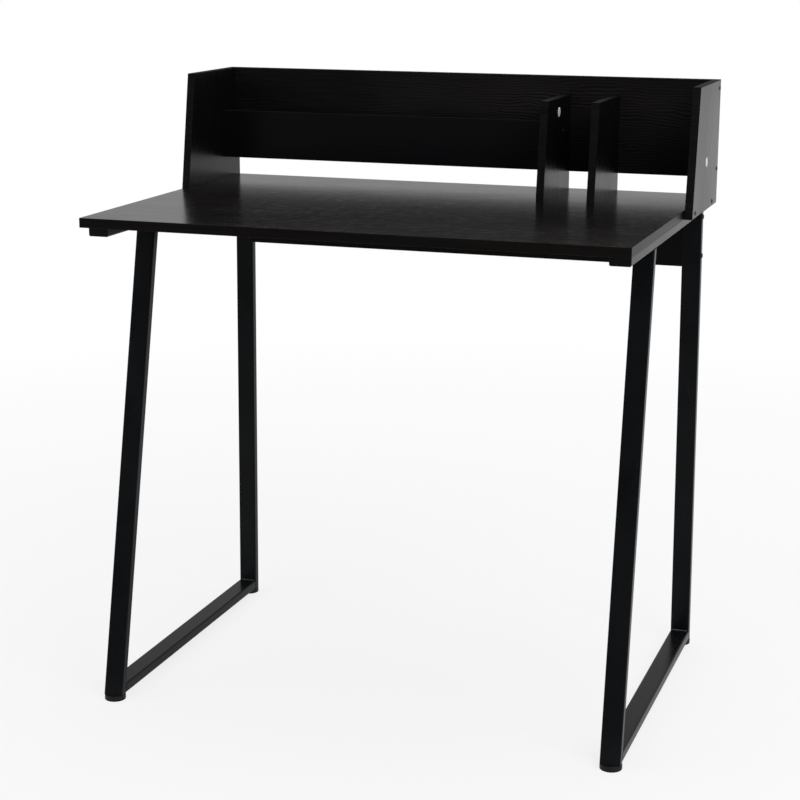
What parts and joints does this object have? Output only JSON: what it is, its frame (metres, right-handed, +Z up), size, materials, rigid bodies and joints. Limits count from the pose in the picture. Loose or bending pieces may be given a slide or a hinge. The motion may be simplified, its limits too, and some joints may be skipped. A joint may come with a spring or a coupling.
{
  "type": "computer desk",
  "caption": "Small black woodgrain computer desk on two leaning flat-tube steel side frames, with a low rear hutch: end panels, rear panel over a cable gap, book dividers and a slot",
  "frame": {"origin": "floor level, under the middle of the overall box", "axes": "+X to the sitter's right, +Y to the rear, +Z up"},
  "size_m": [0.826, 0.576, 0.92],
  "materials": {
    "desk_top_woodgrain": "satin black melamine woodgrain",
    "rear_panel_woodgrain": "satin black melamine woodgrain",
    "slot_board_woodgrain": "satin black melamine woodgrain",
    "end_panel_woodgrain": "satin black melamine woodgrain",
    "divider_woodgrain": "satin black melamine woodgrain",
    "apron_woodgrain": "satin black melamine woodgrain",
    "edge_band": "satin",
    "powder_coat": "satin",
    "black_plastic": "matte",
    "black_fasteners": "satin",
    "zinc_plate": "satin",
    "beech": "plain",
    "white_plastic": "satin"
  },
  "bodies": {
    "desk": {"apron": "apron_woodgrain", "apron_bolts": "black_fasteners", "apron_edge_band": "edge_band", "apron_sleeves": "zinc_plate", "cover_caps": "white_plastic", "desk_top": "desk_top_woodgrain", "desk_top_edge_band": "edge_band", "divider_screws": "black_fasteners", "end_panel_screws": "black_fasteners", "left_bottom_rail": "powder_coat", "left_divider": "divider_woodgrain", "left_divider_edge_band": "edge_band", "left_end_panel": "end_panel_woodgrain", "left_end_panel_edge_band": "edge_band", "left_front_foot_insert": "black_plastic", "left_front_leg": "powder_coat", "left_rail_plug": "black_plastic", "left_rear_foot_insert": "black_plastic", "left_rear_leg": "powder_coat", "left_top_rail": "powder_coat", "left_weld_beads": "powder_coat", "rail_screws": "black_fasteners", "rear_panel": "rear_panel_woodgrain", "rear_panel_edge_bands": "edge_band", "rear_panel_screws": "black_fasteners", "right_bottom_rail": "powder_coat", "right_divider": "divider_woodgrain", "right_divider_edge_band": "edge_band", "right_end_panel": "end_panel_woodgrain", "right_end_panel_edge_band": "edge_band", "right_front_foot_insert": "black_plastic", "right_front_leg": "powder_coat", "right_rail_plug": "black_plastic", "right_rear_foot_insert": "black_plastic", "right_rear_leg": "powder_coat", "right_top_rail": "powder_coat", "right_weld_beads": "powder_coat", "slot_board": "slot_board_woodgrain", "slot_board_dowels": "beech", "slot_board_edge_bands": "edge_band", "slot_board_screws": "black_fasteners"},
    "left_front_foot": {"left_front_foot_pad": "black_plastic", "left_front_foot_stud": "zinc_plate"},
    "left_rear_foot": {"left_rear_foot_pad": "black_plastic", "left_rear_foot_stud": "zinc_plate"},
    "right_front_foot": {"right_front_foot_pad": "black_plastic", "right_front_foot_stud": "zinc_plate"},
    "right_rear_foot": {"right_rear_foot_pad": "black_plastic", "right_rear_foot_stud": "zinc_plate"}
  },
  "joints": [
    {"name": "left_front_foot_level", "type": "slide", "parent": "desk", "child": "left_front_foot", "axis": [0, 0, -1], "range_m": [0, 0.005]},
    {"name": "left_rear_foot_level", "type": "slide", "parent": "desk", "child": "left_rear_foot", "axis": [0, 0, -1], "range_m": [0, 0.005]},
    {"name": "right_front_foot_level", "type": "slide", "parent": "desk", "child": "right_front_foot", "axis": [0, 0, -1], "range_m": [0, 0.005]},
    {"name": "right_rear_foot_level", "type": "slide", "parent": "desk", "child": "right_rear_foot", "axis": [0, 0, -1], "range_m": [0, 0.005]}
  ]
}
